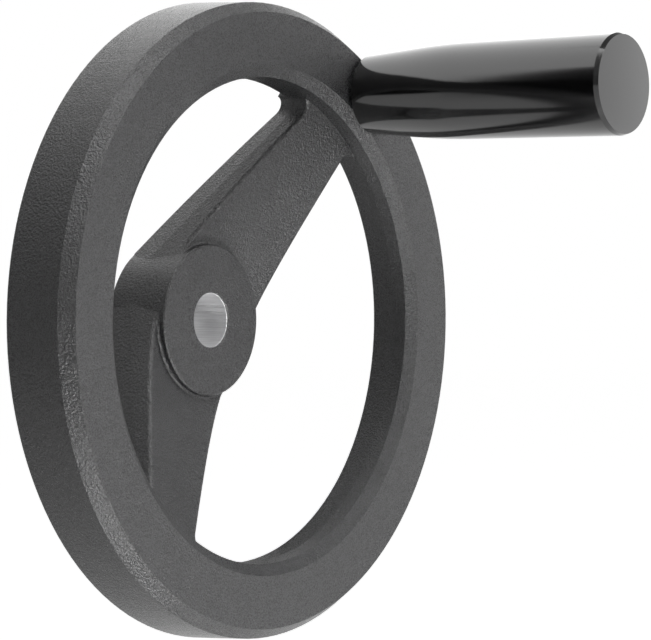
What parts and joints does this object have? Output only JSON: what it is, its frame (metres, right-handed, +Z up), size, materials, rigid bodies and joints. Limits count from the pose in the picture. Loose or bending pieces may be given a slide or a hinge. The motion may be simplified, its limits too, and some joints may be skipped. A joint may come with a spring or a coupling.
{
  "type": "machine handwheel",
  "caption": "Dished spoked handwheel with a through bore at its hub and a revolving handle that stands on its rim.",
  "frame": {"origin": "the bore's axis, at the hub's rear face, where the wheel meets the shaft's shoulder", "axes": "+Y along the bore out of the hub's rear face, so the handle points along -Y; +Z up and +X to the right, seen from the handle's side"},
  "size_m": [0.14, 0.1009, 0.14],
  "materials": {
    "casting": "fine-textured black powder coat on die-cast aluminium, with the bore machined bare",
    "spindle_steel": "turned steel",
    "spring_steel": "oiled spring steel",
    "grip_plastic": "polished black thermoset plastic"
  },
  "bodies": {
    "handwheel": {"wheel": "casting", "handle_spindle": "spindle_steel", "snap_ring": "spring_steel"},
    "grip": {"handle_grip": "grip_plastic"}
  },
  "joints": [
    {"name": "handle_spin", "type": "hinge", "parent": "handwheel", "child": "grip", "pos_m": [0.03726, -0.034, 0.05035], "axis": [0, -1, 0], "continuous": true}
  ]
}
